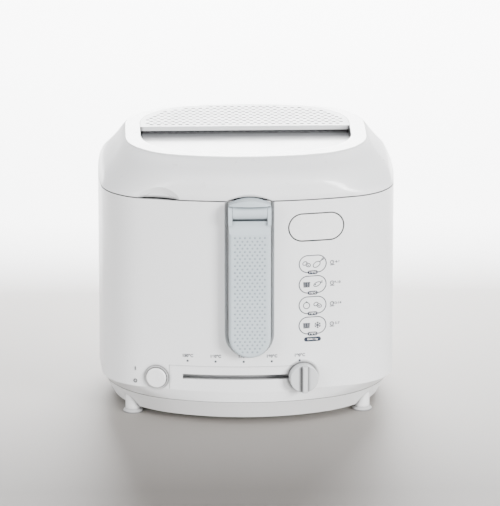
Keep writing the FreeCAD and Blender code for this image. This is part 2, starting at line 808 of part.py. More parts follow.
def make_temperature_control():
    """The knob, its carriage behind the front, the curved rail and the thermostat it sets."""
    body = new_body("temperature_knob")
    stem = front_sketch(body, slider_turn, slider_z, guide_inset)
    circle(stem, slider_tall / 2 - fit_gap)
    pad(body, stem, guide_inset + 2)
    disc = front_sketch(body, slider_turn, slider_z, -1)
    circle(disc, knob_radius)
    plate = pad(body, disc, knob_proud - 5)
    dress(body, "Fillet", plate, 1.2, front_of(slider_turn, knob_proud - 4))
    ridge = front_sketch(body, slider_turn, slider_z, -2)
    rectangle(ridge, grip_ridge, 2 * knob_radius - 1.5)
    rounded = pad(body, ridge, knob_proud - 1)
    dress(body, "Fillet", rounded, 1.4, front_of(slider_turn, knob_proud + 1))

    rail_low = slider_z - 9
    carriage = curved_block(guide_inset + touch_gap, guide_inset + 6, rail_low + 3 + fit_gap,
                            slider_z + 6 - fit_gap, slider_turn - 1.3, slider_turn + 1.3)
    node(carriage, "slider_carriage")
    first = slider_turn - slider_travel - 2
    last = slider_turn + 2
    floor_part = curved_block(wall + 4, guide_inset + 9, rail_low, rail_low + 3, first, last)
    back_part = curved_block(guide_inset + 6 + fit_gap, guide_inset + 9, rail_low + 2,
                             slider_z + 6, first, last)
    node(fuse(floor_part, back_part), "slider_rail")

    far_x = thermostat_x + thermostat_side
    far_y = thermostat_y + thermostat_side
    top = thermostat_low + thermostat_tall
    housing = block((thermostat_x, thermostat_y, thermostat_low), (far_x, far_y, top))
    spindle = rod(spindle_radius, spindle_rise, (thermostat_x + far_x) / 2, (thermostat_y + far_y) / 2, top)
    node(fuse(housing, spindle), "thermostat")
    node(block((-4, thermostat_y, 52), (0, 64, 60)), "thermostat_bracket")
    node(rod(fuse_radius, fuse_long, fuse_x, fuse_y, fuse_z, ALONG_X), "thermal_fuse")
    node(rod(bulb_radius, bulb_long, -bulb_long / 2, bulb_y, bowl_bottom - bulb_radius - 1.7, ALONG_X),
         "thermostat_bulb")
    node(block((terminal_x, terminal_y, foot_height + wall + touch_gap),
               (terminal_x + terminal_long, terminal_y + terminal_deep, terminal_top)), "terminal_block")


def front_of(turn, proud):
    """A test for edges that lie on the outer face of something that stands out of the front."""
    angle = math.radians(value_of(turn))
    centre = value_of(front_radius) - value_of(half_depth)
    reach = value_of(front_radius) + value_of(proud)

    def test(edge):
        return all(abs(math.sin(angle) * v.X - math.cos(angle) * (v.Y - centre) - reach) < 0.02
                   for v in edge.Vertexes)
    return test


def make_power_button():
    body = new_body("power_bezel")
    ring = front_sketch(body, power_turn, power_z, wall)
    circle(ring, bezel_radius - touch_gap)
    pad(body, ring, wall + 1)
    inner = front_sketch(body, power_turn, power_z, wall)
    circle(inner, cap_radius + fit_gap)
    pocket(body, inner, wall + 2, reverse=True)

    body = new_body("power_button")
    face = front_sketch(body, power_turn, power_z, 8)
    circle(face, cap_radius)
    cap = pad(body, face, 8 + cap_proud)
    dress(body, "Fillet", cap, 1.6, front_of(power_turn, cap_proud))
    stem = front_sketch(body, power_turn, power_z, 13)
    circle(stem, 3)
    pad(body, stem, 6)

    body = new_body("main_switch")
    case = front_sketch(body, power_turn, power_z, 40)
    rectangle(case, 24, 20)
    pad(body, case, 40 - 13 - power_stroke - 1)
    spring_node("power_spring", power_turn, power_z, 8 + fit_gap, 13 + power_stroke + 1 - fit_gap,
                power_spring_radius)


def spring_node(label, turn, z, near, far, radius):
    """A coil spring behind a button, along the button's own axis."""
    body = new_body(label)
    ring = front_sketch(body, turn, z, far)
    circle(ring, radius)
    pad(body, ring, far - near)
    bore = front_sketch(body, turn, z, far)
    circle(bore, radius - spring_wall)
    pocket(body, bore, far - near, reverse=True)


def coil(label, radius, wire, turns, length):
    """An open coil spring along +Z from the origin, as one solid."""
    made = doc.addObject("Part::Feature", label)
    pitch = (length - 2 * wire) / turns
    helix = Part.makeHelix(pitch, pitch * turns, radius)
    section = Part.Wire(Part.makeCircle(wire, Vector(radius, 0, 0), Vector(0, 1, 0)))
    made.Shape = Part.Wire(helix.Edges).makePipeShell([section], True, True)
    return node(made, label)


def make_release():
    """The lid release: a button flush with the front, its frame, springs and latch lever."""
    body = doc.addObject("PartDesign::Body", "release_prism")
    face = front_sketch(body, release_turn, release_z, wall + 4)
    stadium(face, release_wide - 2 * release_gap, release_tall - 2 * release_gap)
    pad(body, face, wall + 10)
    stem = front_sketch(body, release_turn, release_z, wall + 8)
    rectangle(stem, 10, 8)
    pad(body, stem, 6)
    surface = rod(front_radius - 0.1, casing_top, 0, front_radius - half_depth)
    node(common(body, surface), "release_button")

    seat_tall = deck_low - touch_gap - release_z + 8
    seats = []
    for side, offset in (("left", -release_spring_turn), ("right", release_spring_turn)):
        spring_node("release_spring_" + side, release_turn + offset, release_z,
                    wall + 4 + fit_gap, spring_seat - fit_gap, release_spring_radius)
        seat_body = doc.addObject("PartDesign::Body", "spring_seat_" + side)
        seat = front_sketch(seat_body, release_turn + offset, deck_low - touch_gap - seat_tall / 2,
                            spring_seat + 2)
        rectangle(seat, 11, seat_tall)
        pad(seat_body, seat, 2)
        seats.append(seat_body)
    compound("spring_seats", seats)

    arm_front = latch_y + 1.3
    arm = block((catch_x - 6, -arm_front, release_z - 5), (catch_x + 6, 2.5 - arm_front, latch_z))
    push_pad = block((catch_x - 6, -(latch_y + 5.2), release_z - 5),
                     (catch_x + 6, 1 - arm_front, release_z + 4))
    nose = block((catch_x - 3, -(latch_y + 2.9), latch_z - 8), (catch_x + 3, 1 - arm_front, latch_z - 5))
    boss = rod(3, 12, catch_x - 6, -latch_y, latch_z, ALONG_X)
    bore = rod(1.5 + pin_play, 12, catch_x - 6, -latch_y, latch_z, ALONG_X)
    node(cut(fuse(arm, push_pad, nose, boss), bore), "latch_lever")
    node(rod(1.5, 20, catch_x - 10, -latch_y, latch_z, ALONG_X), "latch_pin")
    ears = []
    for x in (-10, 6.5):
        ear = block((catch_x + x, -(latch_y + 4), latch_z - 4),
                    (catch_x + x + 3.5, 2.4 - latch_y, deck_low - touch_gap))
        ears.append(cut(ear, rod(1.52, 3.5, catch_x + x, -latch_y, latch_z, ALONG_X)))
    compound("latch_bracket", ears)


def lid_form(body, edge_inset, level_inset, ring_inset, ring_drop, cut):
    """The lid's rounded form from its lower edge to its top ring, added or cut out."""
    made = body.newObject("PartDesign::SubtractiveLoft" if cut else "PartDesign::AdditiveLoft", "LidForm")
    made.Profile = outlined(body, body_outline, edge_inset, z=lid_bottom)
    sections = []
    for side, front, shift, corner, front_bend, side_bend, rise in LID_LEVELS:
        section = sketch(body, "XY", 0, shift, lid_bottom + rise - level_inset / 2)
        outline(section, half_width - side - level_inset, half_depth - front - level_inset,
                corner - level_inset, front_bend - level_inset, side_bend - level_inset)
        sections.append(section)
    top = outlined(body, ring_outline, ring_inset, y=ring_back_shift, z=lid_top - ring_drop)
    made.Sections = sections + [top]
    return made


def make_lid_shell():
    body = new_body("lid_shell")
    lid_form(body, 0, 0, 0, lid_bevel, False)
    loft(body, outlined(body, ring_outline, 0, y=ring_back_shift, z=lid_top - lid_bevel),
         outlined(body, ring_outline, lid_bevel, y=ring_back_shift, z=lid_top))
    lid_form(body, wall, wall + 0.5, 0.8, wall + 0.4, True)
    # the well that holds the window, the filter and the grille
    well_low = ledge_top - wall + 0.5
    pad(body, outlined(body, recess_outline, -2.2, y=recess_shift, z=well_low), lid_top - 1 - well_low)
    pocket(body, outlined(body, recess_outline, 0, y=recess_shift, z=lid_top), ledge_drop)
    pocket(body, outlined(body, recess_outline, ledge_wide, y=recess_shift, z=ledge_top), 3)
    # the arch over the handle and the finger scallop
    arch = sketch(body, "XZ", 0, -(half_depth + 1), lid_bottom + arch_rise - arch_radius)
    circle(arch, arch_radius)
    pocket(body, arch, wall + 3)
    backing = front_sketch(body, scallop_turn, lid_bottom, 9)
    polygon(backing, [(-17, 0), (17, 0), (10, 9), (-10, 9)])
    pad(body, backing, 6)
    scoop = body.newObject("PartDesign::SubtractiveSphere", "Scoop")
    bind(scoop, "Radius", scoop_radius)
    place(scoop, *on_front(scallop_turn, -scoop_out), lid_bottom + scoop_rise - scoop_half)
    # screw bosses under the roof and the hinge lugs at the rear
    boss_low = inner_plate_top + touch_gap
    spots = [(x * boss_x, y * boss_y) for x in (-1, 1) for y in (-1, 1)]
    for x, y in spots + [(catch_x, -catch_y)]:
        boss = sketch(body, "XY", x, y, boss_low)
        circle(boss, boss_radius)
        pad(body, boss, lid_top - wall - boss_low if (x, y) in spots else 7)
    for x, y in spots:
        hole = sketch(body, "XY", x, y, boss_low)
        circle(hole, screw_radius)
        pocket(body, hole, 9, reverse=True)
    for side in (-1, 1):
        barrel = sketch(body, "YZ", side * lug_x - lug_wide / 2, hinge_y, hinge_z)
        circle(barrel, lug_radius)
        pad(body, barrel, lug_wide)
        web = sketch(body, "YZ", side * lug_x - lug_wide / 2)
        polygon(web, [(half_depth - 6, lid_bottom), (hinge_y, lid_bottom),
                      (hinge_y, hinge_z + lug_radius), (half_depth - 6, hinge_z + lug_radius)])
        pad(body, web, lug_wide)
        bore = sketch(body, "YZ", side * lug_x - lug_wide / 2 - 1, hinge_y, hinge_z)
        circle(bore, pin_radius + pin_play)
        pocket(body, bore, lug_wide + 2, reverse=True)


def recess_piece(label, inset, low, thick, edge, keep_rear):
    """A flat piece of the lid's well, cut off along a straight line across the lid."""
    body = new_body(label)
    pad(body, outlined(body, recess_outline, inset, y=recess_shift, z=low), thick)
    away = 120 if keep_rear else -120
    rest = sketch(body, "XY", 0, edge - away, low + thick)
    rectangle(rest, 2 * recess_side + 10, 240)
    pocket(body, rest, thick)
    return body


def make_lid_fittings():
    gasket = recess_piece("window_gasket", 0.6, ledge_top + touch_gap, 0.9, grille_front + 8, False)
    pocket(gasket, outlined(gasket, recess_outline, ledge_wide - 0.4, y=recess_shift,
                            z=ledge_top + 1), 1)
    recess_piece("viewing_window", 0.6, lid_top - window_drop - window_thick, window_thick,
                 grille_front + 8, False)
    recess_piece("metal_filter", 0.6, ledge_top + touch_gap,
                 ledge_drop - grille_thick - 0.2, grille_front + 10, True)
    plate = recess_piece("grille_plate", fit_gap, lid_top - grille_thick, grille_thick, grille_front, True)
    nodes.remove(plate)
    doc.recompute()
    holes = doc.addObject("Part::Feature", "GrilleHoles")
    holes.Shape = Part.makeCompound(grille_slots(plate.Shape))
    node(cut(plate, holes), "filter_grille")

    body = new_body("lid_inner_plate")
    tall = inner_plate_top - inner_plate_low
    pad(body, outlined(body, inner_outline, -6, z=inner_plate_low), tall)
    pocket(body, outlined(body, inner_outline, -4.5, z=inner_plate_low), tall - 1.5, reverse=True)
    for y, deep in ((-36, 84), (57, 62)):
        opening = sketch(body, "XY", 0, y, inner_plate_top)
        rectangle(opening, 176, deep)
        pocket(body, opening, 1.5)
    for x in (-1, 1):
        for y in (-1, 1):
            hole = sketch(body, "XY", x * boss_x, y * boss_y, inner_plate_top)
            circle(hole, screw_radius)
            pocket(body, hole, 1.5)
    head_top = inner_plate_top - 1.5 - touch_gap
    screws = [fuse(rod(screw_radius * 2, 1.6, x * boss_x, y * boss_y, head_top - 1.6),
                   rod(screw_radius - fit_gap / 2, 10, x * boss_x, y * boss_y, head_top - 1.6))
              for x in (-1, 1) for y in (-1, 1)]
    compound("lid_screws", screws)
    seal = new_body("lid_seal")
    seal_low = casing_top + touch_gap + collar_wall + 0.35
    pad(seal, outlined(seal, inner_outline, -6, z=seal_low), inner_plate_low - touch_gap - seal_low)
    pocket(seal, outlined(seal, inner_outline, -2, z=seal_low), inner_plate_low - seal_low, reverse=True)
    top = inner_plate_top
    hook = block((catch_x - 4, -(catch_y + 1.5), latch_z - 11), (catch_x + 4, 1 - catch_y, top - 1))
    foot = block((catch_x - 7, -(catch_y + 3.5), top - 2), (catch_x + 7, 4 - catch_y, top))
    window = block((catch_x - 3.5, -(catch_y + 2), latch_z - 8.5),
                   (catch_x + 3.5, 2 - catch_y, latch_z - 4.5))
    node(cut(fuse(hook, foot), window), "lid_catch")


def grille_slots(plate):
    """Long holes in staggered rows, kept where a whole hole with its rim fits in the grille."""
    deep = value_of(grille_hole_deep)
    wide = value_of(grille_hole_wide)
    pitch = value_of(grille_pitch)
    row = value_of(grille_row)
    top = value_of(lid_top)
    thick = value_of(grille_thick)
    first = value_of(grille_front) + 8
    last = value_of(recess_shift + recess_front) - 3
    reach = value_of(recess_side)
    slots = []
    rows = int((last - first) / row) + 1
    columns = int(reach / pitch) + 1
    for j in range(rows):
        for i in range(-columns, columns + 1):
            x = (i + 0.5 * (j % 2)) * pitch
            y = first + j * row
            rim = 3.2
            corners = [(x + sx * (wide / 2 + rim), y + sy * (deep / 2 + rim * 0.7))
                       for sx in (-1, 1) for sy in (-1, 1)]
            if not all(plate.isInside(Vector(px, py, top - thick / 2), 0.01, True) for px, py in corners):
                continue
            half = (wide - deep) / 2
            slot = Part.makeBox(2 * half, deep, thick + 2, Vector(x - half, y - deep / 2, top - thick - 1))
            ends = [Part.makeCylinder(deep / 2, thick + 2, Vector(x + s * half, y, top - thick - 1))
                    for s in (-1, 1)]
            slots.append(slot.fuse(ends).removeSplitter())
    return slots


def make_hinge():
    ears_at = lug_x + lug_wide / 2 + hinge_gap
    half_long = ears_at + ear_wide
    base_top = hinge_z - lug_radius - 1.3
    parts = [block((-half_long, half_depth - 12, base_top - 20), (half_long, rear_reach - 1, base_top))]
    for x in (ears_at, -half_long):
        parts.append(rod(rear_reach - hinge_y, ear_wide, x, hinge_y, hinge_z, ALONG_X))
        parts.append(block((x, half_depth + 2.5, base_top - 1), (x + ear_wide, rear_reach, hinge_z)))
    casing_back = rod(front_radius + touch_gap, 60, 0, half_depth - front_radius, base_top - 30)
    bore = rod(pin_radius + 0.02, 2 * half_long, -half_long, hinge_y, hinge_z, ALONG_X)
    node(cut(cut(fuse(*parts), casing_back), bore), "hinge_bracket")
    node(rod(pin_radius, 2 * half_long + 1, -half_long - 0.5, hinge_y, hinge_z, ALONG_X), "hinge_pin")
    spring_half = lug_x - lug_wide / 2 - 2
    spring = coil("lid_spring", value_of(pin_radius) + 1.1, 0.7, 14, value_of(2 * spring_half))
    spring.Placement = Placement(Vector(-value_of(spring_half) + 0.7, value_of(hinge_y),
                                        value_of(hinge_z)), ALONG_X)


def make_handle():
    body = new_body("handle_grip")
    grip_top = knuckle_z - knuckle_radius - 0.6
    thin_back = plate_front + fit_gap
    front_part = sketch(body, "XZ", y=-thin_back)
    u_shape(front_part, handle_half, handle_low, grip_top)
    whole = pad(body, front_part, handle_front - thin_back)
    front = -value_of(handle_front)
    dress(body, "Fillet", whole, 3,
          lambda edge: abs(edge.BoundBox.YMin - front) < 0.05 and abs(edge.BoundBox.YMax - front) < 0.05)
    back_part = sketch(body, "XZ", y=-grip_back)
    u_shape(back_part, handle_half - 0.8, handle_low + 0.8, grip_step)
    pad(body, back_part, thin_back - grip_back)
    scoop = sketch(body, "YZ", -30, -(handle_front + band_radius - band_depth), band_z)
    circle(scoop, band_radius)
    pocket(body, scoop, 60, reverse=True)
    ear_in = knuckle_half + ear_gap
    for x in (ear_in, -ear_in - handle_ear):
        ear = sketch(body, "YZ", x, -knuckle_y, knuckle_z)
        circle(ear, ear_radius)
        pad(body, ear, handle_ear)
        web = sketch(body, "YZ", x)
        polygon(web, [(-(knuckle_y + ear_radius), grip_top - 4), (-thin_back, grip_top - 4),
                      (-thin_back, knuckle_z), (-(knuckle_y + ear_radius), knuckle_z)])
        pad(body, web, handle_ear)
        bore = sketch(body, "YZ", x - 1, -knuckle_y, knuckle_z)
        circle(bore, pin_radius + 0.02)
        pocket(body, bore, handle_ear + 2, reverse=True)
    node(rod(pin_radius, 2 * (ear_in + handle_ear), -(ear_in + handle_ear), -knuckle_y, knuckle_z,
             ALONG_X), "handle_pin")


def make_basket():
    rim_inset = bowl_inset + basket_gap - 2
    rim_low = tongue_low - 1.5
    body = new_body("frying_basket")
    top = rim_low - touch_gap
    loft(body, outlined(body, inner_outline, rim_inset + 6, z=basket_bottom),
         outlined(body, inner_outline, rim_inset + 1, z=top))
    loft(body, outlined(body, inner_outline, rim_inset + 6 + basket_wall, z=basket_bottom + basket_wall),
         outlined(body, inner_outline, rim_inset + 1 + basket_wall, z=top), cut=True)
    rim = new_body("basket_rim")
    pad(rim, outlined(rim, inner_outline, rim_inset, z=rim_low), rim_wire)
    pocket(rim, outlined(rim, inner_outline, rim_inset + rim_wire, z=rim_low), rim_wire, reverse=True)
    barrel = rod(knuckle_radius, 2 * knuckle_half, -knuckle_half, -knuckle_y, knuckle_z, ALONG_X)
    plate = block((-tongue_half, -plate_front, tongue_low), (tongue_half, -plate_back, knuckle_z))
    tongue = block((-tongue_half, -plate_front, tongue_low),
                   (tongue_half, rim_inset - touch_gap - collar_front, tongue_low + tongue_thick))
    bore = rod(pin_radius + pin_play, 2 * knuckle_half, -knuckle_half, -knuckle_y, knuckle_z, ALONG_X)
    cap_low = knuckle_z + ear_radius + ear_gap
    neck = block((-knuckle_half, -(knuckle_y + 3), knuckle_z), (knuckle_half, -plate_back, cap_low + 0.5))
    cap = block((-cap_half, -handle_front, cap_low), (cap_half, -plate_back, cap_low + cap_rise))
    curve = rod(cap_curve, cap_rise + 2, 0, cap_curve - handle_front + 0.4, cap_low - 1)
    arch = rod(cap_arch, handle_front, 0, -handle_front - 1, cap_low + cap_rise - cap_arch, ALONG_Y)
    cap = common(common(cap, curve), arch)
    node(cut(fuse(barrel, plate, tongue, neck, cap), bore), "basket_bracket")


def make_cord_inlet():
    back = half_depth - 4.4
    bush = rod(cord_hole - touch_gap, 16, cord_x, back - 14, cord_z, ALONG_Y)
    flange = rod(cord_hole + 3, 3, cord_x, back, cord_z, ALONG_Y)
    bore = rod(3.8, 20, cord_x, back - 15, cord_z, ALONG_Y)
    node(cut(fuse(bush, flange), bore), "cord_inlet")


make_outer_casing()
make_base_tray()
make_feet()
make_rim_collar()
make_oil_bowl()
make_heating()
make_temperature_control()
make_power_button()
make_release()
make_lid_shell()
make_lid_fittings()
make_hinge()
make_handle()
make_basket()
make_cord_inlet()
doc.recompute()

for thing in doc.Objects:
    if "Invalid" in thing.State or "Error" in thing.State:
        raise ValueError(f"{thing.Label} failed: {thing.State}")
for piece in nodes:
    if piece.Shape.isNull() or not piece.Shape.isValid():
        raise ValueError(f"{piece.Label} has no valid shape")
for piece in nodes:
    piece.Shape.exportStep(f"parts/{piece.Label}.step")
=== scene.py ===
import json
import math

import bmesh
import bpy
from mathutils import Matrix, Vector


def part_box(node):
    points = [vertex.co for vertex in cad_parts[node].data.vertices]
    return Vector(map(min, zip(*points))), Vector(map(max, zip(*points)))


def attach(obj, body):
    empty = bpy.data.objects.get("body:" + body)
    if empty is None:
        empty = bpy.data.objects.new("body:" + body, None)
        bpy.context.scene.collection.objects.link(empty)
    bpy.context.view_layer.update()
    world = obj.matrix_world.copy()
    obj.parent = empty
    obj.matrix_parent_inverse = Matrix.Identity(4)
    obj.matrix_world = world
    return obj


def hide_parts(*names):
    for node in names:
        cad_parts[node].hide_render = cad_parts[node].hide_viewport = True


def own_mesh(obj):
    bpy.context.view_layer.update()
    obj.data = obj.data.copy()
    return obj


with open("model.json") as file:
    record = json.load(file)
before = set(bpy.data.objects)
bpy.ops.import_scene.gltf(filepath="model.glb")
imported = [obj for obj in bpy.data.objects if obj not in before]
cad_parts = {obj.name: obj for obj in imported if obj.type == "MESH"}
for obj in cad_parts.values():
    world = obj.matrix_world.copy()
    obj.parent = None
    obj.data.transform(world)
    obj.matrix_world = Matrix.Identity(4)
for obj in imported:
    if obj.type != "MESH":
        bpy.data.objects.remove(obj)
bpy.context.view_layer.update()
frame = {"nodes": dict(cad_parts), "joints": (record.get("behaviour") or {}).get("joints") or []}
MM = 0.001

# ------------------------------------------------------------ the curved front

FRONT_RADIUS = 362 * MM
front_centre = FRONT_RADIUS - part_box("outer_casing")[1].y


def on_front(across, z, lift=0.0):
    """A point on the curved front: across is the length along the curve from the middle."""
    turn = across / FRONT_RADIUS
    reach = FRONT_RADIUS + lift
    return Vector((reach * math.sin(turn), front_centre - reach * math.cos(turn), z))


def finish_mesh(name, mesh, smooth=False):
    """Turn mesh code's result into a mesh."""
    data = bpy.data.meshes.new(name)
    mesh.to_mesh(data)
    mesh.free()
    if smooth:
        data.shade_smooth()
    return data


# ------------------------------------------------------------ materials

NOISE_LOW = 0.3
NOISE_HIGH = 0.7
# painted shade in seams and crevices: the occlusion samples, its reach in plastic and in metal, and its
# strength in metal
PAINTED_SHADE_SAMPLES = 8
PLASTIC_SHADE_REACH = 4 * MM
METAL_SHADE_REACH = 5 * MM
METAL_SEAM_SHADE = 2.0
DRIFT_SCALE = 14
GLOSS_SCALE = 60
COAT_ROUGHNESS = 0.12


def new_material(name):
    """An empty material with one shader."""
    material = bpy.data.materials.new(name)
    material.use_nodes = True
    tree = material.node_tree
    tree.nodes.clear()
    output = tree.nodes.new("ShaderNodeOutputMaterial")
    shader = tree.nodes.new("ShaderNodeBsdfPrincipled")
    tree.links.new(shader.outputs["BSDF"], output.inputs["Surface"])
    return material, tree, shader


def noise(tree, scale, detail=4.0, stretch=None):
    """Object-space noise, stretched along an axis for brushed metal."""
    place = tree.nodes.new("ShaderNodeTexCoord")
    texture = tree.nodes.new("ShaderNodeTexNoise")
    texture.inputs["Scale"].default_value = scale
    texture.inputs["Detail"].default_value = detail
    if stretch:
        mapping = tree.nodes.new("ShaderNodeMapping")
        mapping.inputs["Scale"].default_value = stretch
        tree.links.new(place.outputs["Object"], mapping.inputs["Vector"])
        tree.links.new(mapping.outputs["Vector"], texture.inputs["Vector"])
    else:
        tree.links.new(place.outputs["Object"], texture.inputs["Vector"])
    return texture.outputs["Fac"]


def spread(tree, source, low, high):
    """Map the values that noise mostly has onto a range."""
    node = tree.nodes.new("ShaderNodeMapRange")
    node.inputs["From Min"].default_value = NOISE_LOW
    node.inputs["From Max"].default_value = NOISE_HIGH
    node.inputs["To Min"].default_value = low
    node.inputs["To Max"].default_value = high
    tree.links.new(source, node.inputs["Value"])
    return node.outputs["Result"]


def two_tone(tree, source, colour, tint):
    """A colour that drifts by a tint to either side."""
    ramp = tree.nodes.new("ShaderNodeValToRGB")
    dark, light = ramp.color_ramp.elements
    dark.position = NOISE_LOW
    light.position = NOISE_HIGH
    dark.color = (*[max(0.0, c - tint) for c in colour], 1)
    light.color = (*[min(1.0, c + tint) for c in colour], 1)
    tree.links.new(source, ramp.inputs["Fac"])
    return ramp.outputs["Color"]


def painted_crevice_shade(tree, colour, reach, power):
    """The colour, darker where surfaces close in on each other: painted shade in seams and crevices, from an
    occlusion node.
    """
    # the occlusion node paints shade into the colour
    near = tree.nodes.new("ShaderNodeAmbientOcclusion")
    near.samples = PAINTED_SHADE_SAMPLES
    near.inputs["Distance"].default_value = reach
    deepen = tree.nodes.new("ShaderNodeMath")
    deepen.operation = "POWER"
    deepen.inputs[1].default_value = power
    tree.links.new(near.outputs["AO"], deepen.inputs[0])
    mix = tree.nodes.new("ShaderNodeMix")
    mix.data_type = "RGBA"
    mix.blend_type = "MULTIPLY"
    # a colour mix has its factor at input 0, its colours at 6 and 7 and its result at output 2
    mix.inputs[0].default_value = 1.0
    tree.links.new(colour, mix.inputs[6])
    tree.links.new(deepen.outputs["Value"], mix.inputs[7])
    return mix.outputs[2]


def bump(tree, shader, source, depth):
    """Surface texture of a depth in metres."""
    node = tree.nodes.new("ShaderNodeBump")
    node.inputs["Distance"].default_value = depth
    node.inputs["Strength"].default_value = 1.0
    tree.links.new(source, node.inputs["Height"])
    tree.links.new(node.outputs["Normal"], shader.inputs["Normal"])


def moulded(name, colour, rough, grain=0.02, grain_scale=1800, coat=0.0, tint=0.015, seam_shade=2.0):
    """Moulded plastic or rubber: slow colour drift, fine moulding texture, uneven gloss, painted shade in
    its seams.
    """
    material, tree, shader = new_material(name)
    drift = two_tone(tree, noise(tree, DRIFT_SCALE), colour, tint)
    # painted shade: the drifting colour darkens where surfaces close in
    tree.links.new(painted_crevice_shade(tree, drift, PLASTIC_SHADE_REACH, seam_shade), shader.inputs["Base Color"])
    gloss = spread(tree, noise(tree, GLOSS_SCALE), rough - 0.03, rough + 0.04)
    tree.links.new(gloss, shader.inputs["Roughness"])
    bump(tree, shader, noise(tree, grain_scale, 2), grain * MM)
    shader.inputs["Coat Weight"].default_value = coat
    shader.inputs["Coat Roughness"].default_value = COAT_ROUGHNESS
    return material


def metal(name, colour, rough, stretch=(1, 1, 1), scale=90, tint=0.05, depth=0.01):
    """Metal with streaks along one direction."""
    material, tree, shader = new_material(name)
    streaks = noise(tree, scale, 6, stretch)
    drift = two_tone(tree, streaks, colour, tint)
    # painted shade: the streaked colour darkens where surfaces close in
    tree.links.new(painted_crevice_shade(tree, drift, METAL_SHADE_REACH, METAL_SEAM_SHADE), shader.inputs["Base Color"])
    tree.links.new(spread(tree, streaks, rough - 0.05, rough + 0.08), shader.inputs["Roughness"])
    bump(tree, shader, streaks, depth * MM)
    shader.inputs["Metallic"].default_value = 1.0
    return material


def let_light_through(material, share):
    material.node_tree.nodes["Principled BSDF"].inputs["Transmission Weight"].default_value = share


def make_materials():
    """Every material by the key that NODE_MATERIALS and the pieces use."""
    made = {
        # each seam figure is the strength of the painted shade in that material's seams
        "casing": moulded("white_casing_plastic", (0.80, 0.805, 0.81), 0.36, coat=0.15, seam_shade=3.4),
        "lid": moulded("white_lid_plastic", (0.80, 0.805, 0.81), 0.30, coat=0.2, seam_shade=3.4),
        "grille": moulded("white_grille_plastic", (0.62, 0.625, 0.63), 0.35, seam_shade=4.5),
        "tray": moulded("white_tray_plastic", (0.72, 0.72, 0.72), 0.45),
        "control": moulded("white_control_plastic", (0.82, 0.82, 0.82), 0.25, coat=0.3, seam_shade=3.0),
        "handle": moulded("blue_grey_handle_plastic", (0.46, 0.525, 0.56), 0.38, grain=0.03, seam_shade=0.7),
        # the grip dots: the handle's blue grey made darker, as painted shade in the dots
        "handle_dots_shaded": moulded("blue_grey_grip_dots_painted_shade", (0.26, 0.31, 0.34), 0.42, grain=0.02),
        "knob": moulded("silver_grey_knob_plastic", (0.54, 0.55, 0.56), 0.24, coat=0.5, seam_shade=2.6),
        "inner": moulded("pale_grey_inner_plastic", (0.55, 0.555, 0.56), 0.5),
        "black": moulded("black_insulating_plastic", (0.03, 0.03, 0.033), 0.45, tint=0.008),
        "ceramic": moulded("cream_ceramic", (0.72, 0.69, 0.63), 0.55, grain=0.05),
        "seal": moulded("grey_silicone", (0.30, 0.30, 0.31), 0.6),
        "ink": moulded("printed_grey_ink", (0.012, 0.018, 0.032), 0.5, tint=0.004, seam_shade=0.2),
        "ink_white": moulded("printed_white_ink", (0.85, 0.85, 0.85), 0.5, seam_shade=0.2),
        "steel": metal("plain_steel_sheet", (0.56, 0.56, 0.57), 0.32, (1, 12, 12)),
        "pin": metal("turned_steel", (0.60, 0.60, 0.61), 0.25, (1, 20, 20), 200),
        "chrome": metal("chromed_wire", (0.72, 0.73, 0.74), 0.16, scale=300, tint=0.03),
        "element": metal("oxidised_steel_tube", (0.20, 0.17, 0.15), 0.5, scale=120, tint=0.05),
        "coating": moulded("dark_bowl_coating", (0.055, 0.055, 0.06), 0.38, grain=0.05,
                           grain_scale=900, tint=0.02),
        "foot": moulded("translucent_foot_rubber", (0.62, 0.62, 0.62), 0.4, tint=0.03),
        "window": moulded("misted_window", (0.36, 0.37, 0.38), 0.22, grain=0.004, coat=0.25),
    }
    let_light_through(made["foot"], 0.25)
    let_light_through(made["window"], 0.22)
    return made


MATERIALS = make_materials()

NODE_MATERIALS = {
    "casing": ["outer_casing", "hinge_bracket"],
    "lid": ["lid_shell"],
    "grille": ["filter_grille"],
    "tray": ["base_tray", "foot_front_left", "foot_front_right", "foot_rear_left", "foot_rear_right"],
    "foot": ["foot_pad_front_left", "foot_pad_front_right", "foot_pad_rear_left", "foot_pad_rear_right"],
    "control": ["power_button", "power_bezel", "release_button"],
    "handle": ["handle_grip", "basket_bracket"],
    "knob": ["temperature_knob"],
    "inner": ["rim_collar", "slider_rail", "slider_carriage", "spring_seats", "latch_lever",
              "latch_bracket", "lid_catch"],
    "black": ["thermostat", "terminal_block", "main_switch", "cord_inlet"],
    "ceramic": ["thermal_fuse", "bowl_spacers"],
    "seal": ["lid_seal", "window_gasket"],
    "steel": ["heat_reflector", "reflector_posts", "thermostat_bracket", "metal_filter",
              "lid_inner_plate"],
    "pin": ["hinge_pin", "handle_pin", "latch_pin", "lid_spring", "power_spring", "release_spring_left",
            "release_spring_right", "tray_screws", "lid_screws", "thermostat_bulb"],
    "chrome": ["basket_rim", "frying_basket"],
    "element": ["heating_element"],
    "coating": ["oil_bowl"],
    "window": ["viewing_window"],
}


def dress_nodes():
    """Give every CAD node its material."""
    for key, names in NODE_MATERIALS.items():
        for name in names:
            mesh = frame["nodes"][name].data
            mesh.materials.clear()
            mesh.materials.append(MATERIALS[key])


def finish_piece(name, mesh, body, material):
    """Link a new mesh as a piece that rides on a body."""
    piece = bpy.data.objects.new(name, mesh)
    bpy.context.scene.collection.objects.link(piece)
    mesh.materials.append(MATERIALS[material])
    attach(piece, body)
    return piece


# ------------------------------------------------------------ printed marks on the front

# flat sizes and points are in mm
PRINT_LIFT = 0.06 * MM
STROKE = 0.68
CAP_SHARE = 0.7
LETTER_WEIGHT = 0.04
LETTER_SPACING = 1.05


def wrapped(points, centre, z, lift=PRINT_LIFT):
    """Flat points in mm around a centre, laid on the curved front."""
    return [on_front(centre + u * MM, z + v * MM, lift) for u, v in points]


